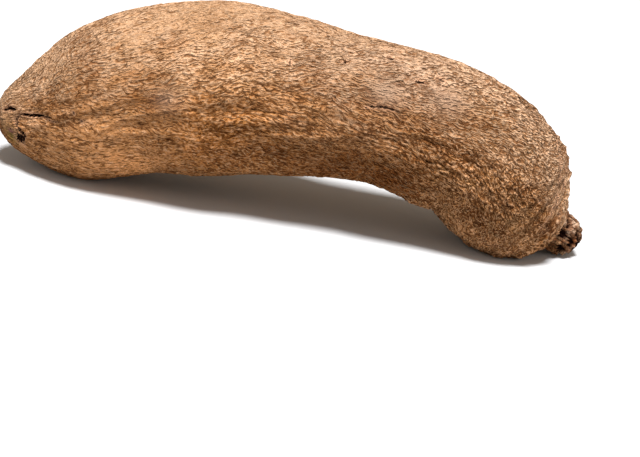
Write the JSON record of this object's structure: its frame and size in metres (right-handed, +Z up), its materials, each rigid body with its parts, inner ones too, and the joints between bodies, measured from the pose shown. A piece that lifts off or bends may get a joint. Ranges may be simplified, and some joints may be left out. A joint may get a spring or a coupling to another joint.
{
  "type": "yam",
  "caption": "Whole long white yam tuber with bark-like skin, a blunt tail tip and a corky crown, arched so that it lies on its belly and on its crown end.",
  "frame": {"origin": "middle of the footprint's bounding box, on the surface that the tuber lies on", "axes": "+X along the tuber's length from the tail tip to the crown, +Z up, +Y to the far side"},
  "size_m": [0.3672, 0.111, 0.121],
  "materials": {
    "skin": "dry and matt, wrinkled like bark"
  },
  "bodies": {
    "root": {"yam_tuber": "skin"}
  },
  "joints": []
}
